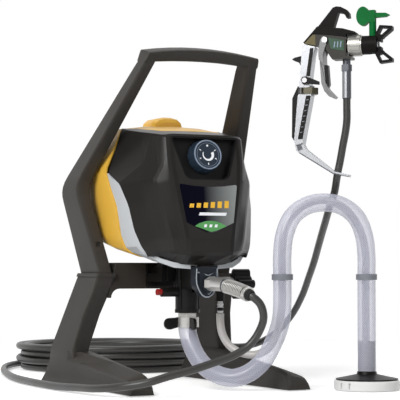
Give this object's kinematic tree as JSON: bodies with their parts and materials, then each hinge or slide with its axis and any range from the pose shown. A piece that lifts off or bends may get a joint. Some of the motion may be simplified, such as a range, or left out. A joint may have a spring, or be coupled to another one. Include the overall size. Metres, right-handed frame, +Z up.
{
  "type": "airless paint sprayer",
  "caption": "Airless paint sprayer on a two-legged carrying stand, with piston pump, electric motor, pressure dial, spray gun, coiled hose and suction set with strainer.",
  "frame": {"origin": "centre of the box round the stand, housing and gun, at floor level; the hoses, suction set and strainer are left out of that box", "axes": "+Z up; the control panel, pump outlet and toes face -Y; the carrying bar runs along X"},
  "size_m": [0.4784, 0.8231, 0.529],
  "materials": {
    "stand_black": "satin",
    "cover_black": "satin",
    "cover_yellow": "satin",
    "band_silver": "satin",
    "black_plastic": "matte",
    "dial_blue": "gloss",
    "label": "gloss",
    "rubber": "matte",
    "cast_metal": "satin",
    "light_metal": "satin",
    "steel": "brushed",
    "chrome": "polished",
    "copper": "satin",
    "brass": "satin",
    "board_green": "satin",
    "hose_black": "satin",
    "clear_tube": "clear, braided",
    "white_tube": "milky",
    "grey_plastic": "satin",
    "white_plastic": "satin",
    "button_red": "gloss",
    "tip_green": "satin",
    "gun_khaki": "satin",
    "gun_grey": "satin"
  },
  "bodies": {
    "sprayer": {"handle_frame": "stand_black", "left_leg": "stand_black", "right_leg": "stand_black", "crossbar": "stand_black", "foot_pads": "rubber", "frame_bolts": "steel", "front_cover": "cover_black", "mid_band": "band_silver", "rear_cover": "cover_yellow", "control_panel": "cover_black", "label_plate": "label", "pressure_control": "black_plastic", "control_board": "board_green", "switch_body": "black_plastic", "cord_gland": "black_plastic", "gear_frame": "light_metal", "motor_case": "steel", "stator": "copper", "brushes": "black_plastic", "end_bell": "light_metal", "bearings": "steel", "packing_nut": "brass", "pump_block": "cast_metal", "pump_shroud": "black_plastic", "inlet_valve": "steel", "prime_valve": "steel", "return_barb": "chrome", "hose_clamp": "steel", "outlet_fitting": "steel", "hose_spring": "steel", "hose_front": "hose_black", "hose_coil": "hose_black", "hose_to_gun": "hose_black", "suction_tube": "clear_tube", "return_tube": "white_tube", "tube_clips": "grey_plastic", "strainer_cap": "black_plastic", "strainer_base": "white_plastic", "gun_body": "gun_khaki", "gun_hook": "gun_grey", "gun_handle": "light_metal", "handle_nut": "gun_khaki", "grip_pads": "black_plastic", "gun_pins": "steel", "collar_nut": "light_metal", "gun_inlet": "steel"},
    "dial": {"pressure_dial": "dial_blue"},
    "prime_handle": {"prime_knob": "black_plastic"},
    "pusher": {"inlet_pusher": "button_red"},
    "motor_shaft": {"armature": "copper", "cooling_fan": "black_plastic"},
    "crank": {"drive_gear": "steel"},
    "piston_rod": {"piston": "steel"},
    "rocker": {"switch_rocker": "button_red"},
    "gun_trigger": {"trigger": "light_metal", "trigger_pad": "black_plastic"},
    "gun_needle": {"needle": "steel"},
    "lock_lever": {"trigger_lock": "black_plastic"},
    "guard": {"tip_guard": "black_plastic"},
    "tip": {"spray_tip": "tip_green"}
  },
  "joints": [
    {"name": "dial_turn", "type": "hinge", "parent": "sprayer", "child": "dial", "pos_m": [-0.049, -0.08566, 0.321], "axis": [0, -0.9848, 0.1736], "range_deg": [-150, 120]},
    {"name": "prime_turn", "type": "hinge", "parent": "sprayer", "child": "prime_handle", "pos_m": [0.013, -0.042, 0.145], "axis": [1, 0, 0], "range_deg": [0, 90]},
    {"name": "pusher_slide", "type": "slide", "parent": "sprayer", "child": "pusher", "axis": [1, 0, 0], "range_m": [0, 0.004], "stiffness_N_per_m": 1500},
    {"name": "motor_spin", "type": "hinge", "parent": "sprayer", "child": "motor_shaft", "pos_m": [-0.049, 0.038, 0.275], "axis": [0, 1, 0], "continuous": true},
    {"name": "crank_spin", "type": "hinge", "parent": "sprayer", "child": "crank", "pos_m": [-0.049, -0.014, 0.2302], "axis": [0, 1, 0], "continuous": true},
    {"name": "piston_slide", "type": "slide", "parent": "sprayer", "child": "piston_rod", "axis": [0, 0, 1], "range_m": [-0.006, 0.006]},
    {"name": "rocker_tilt", "type": "hinge", "parent": "sprayer", "child": "rocker", "pos_m": [0.003, 0.1114, 0.232], "axis": [1, 0, 0], "range_deg": [-14, 0]},
    {"name": "trigger_pull", "type": "hinge", "parent": "sprayer", "child": "gun_trigger", "pos_m": [0.11217, -0.13872, 0.482], "axis": [0.6947, 0.7193, 0], "range_deg": [0, 6.5], "stiffness_Nm_per_rad": 4},
    {"name": "needle_slide", "type": "slide", "parent": "sprayer", "child": "gun_needle", "axis": [-0.7193, 0.6947, 0], "range_m": [0, 0.002]},
    {"name": "lock_turn", "type": "hinge", "parent": "sprayer", "child": "lock_lever", "pos_m": [0.08278, -0.12813, 0.427], "axis": [0.6947, 0.7193, 0], "range_deg": [-10, 70]},
    {"name": "guard_turn", "type": "hinge", "parent": "sprayer", "child": "guard", "pos_m": [0.15677, -0.18179, 0.474], "axis": [0.7193, -0.6947, 0], "range_deg": [-90, 90]},
    {"name": "tip_turn", "type": "hinge", "parent": "guard", "child": "tip", "pos_m": [0.15879, -0.18373, 0.499], "axis": [0, 0, 1], "range_deg": [0, 180]}
  ],
  "couplings": [
    {"joint": "crank_spin", "follows": "motor_spin", "ratio": -0.23077},
    {"joint": "needle_slide", "follows": "trigger_pull", "m_per_rad": 0.016748}
  ]
}
